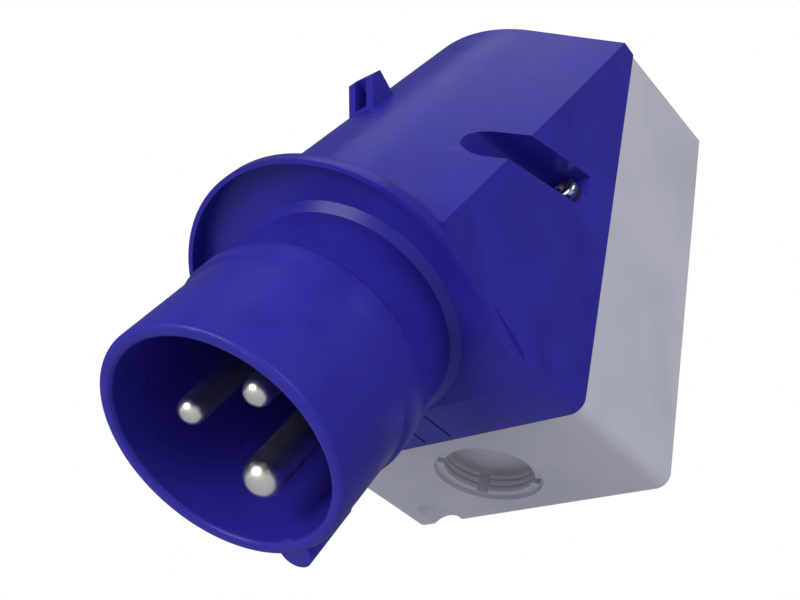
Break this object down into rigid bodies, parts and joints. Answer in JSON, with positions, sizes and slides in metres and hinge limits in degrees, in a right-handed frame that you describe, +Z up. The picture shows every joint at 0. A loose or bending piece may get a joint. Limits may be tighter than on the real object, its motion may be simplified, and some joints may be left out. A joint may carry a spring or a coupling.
{
  "type": "wall-mounted appliance inlet",
  "caption": "Wall-mounted appliance inlet: grey rear box, blue sloping cover, and a round shroud with a key rib around contact pins that face down and forward.",
  "frame": {"origin": "centre of the wall face, at mid height of the cover's seam", "axes": "+X to the right as seen from the front, -Y out of the wall towards the user, +Z up"},
  "size_m": [0.0668, 0.0991, 0.1325],
  "materials": {
    "blue_plastic": "moulded, satin to gloss",
    "grey_plastic": "moulded, satin",
    "carrier_plastic": "moulded, matt",
    "seal_rubber": "matt",
    "pin_metal": "nickel-plated",
    "screw_steel": "zinc-plated",
    "insert_brass": "turned"
  },
  "bodies": {
    "root": {"rear_housing": "grey_plastic", "front_cover": "blue_plastic", "cover_gasket": "seal_rubber", "contact_carrier": "carrier_plastic", "carrier_gasket": "seal_rubber", "pin_earth": "pin_metal", "pin_line": "pin_metal", "pin_neutral": "pin_metal", "terminal_screw_earth": "screw_steel", "terminal_screw_line": "screw_steel", "terminal_screw_neutral": "screw_steel", "carrier_screw_left": "screw_steel", "carrier_screw_right": "screw_steel", "cover_screw_left": "screw_steel", "cover_screw_right": "screw_steel", "screw_seal_left": "seal_rubber", "screw_seal_right": "seal_rubber", "screw_insert_left": "insert_brass", "screw_insert_right": "insert_brass"}
  },
  "joints": []
}
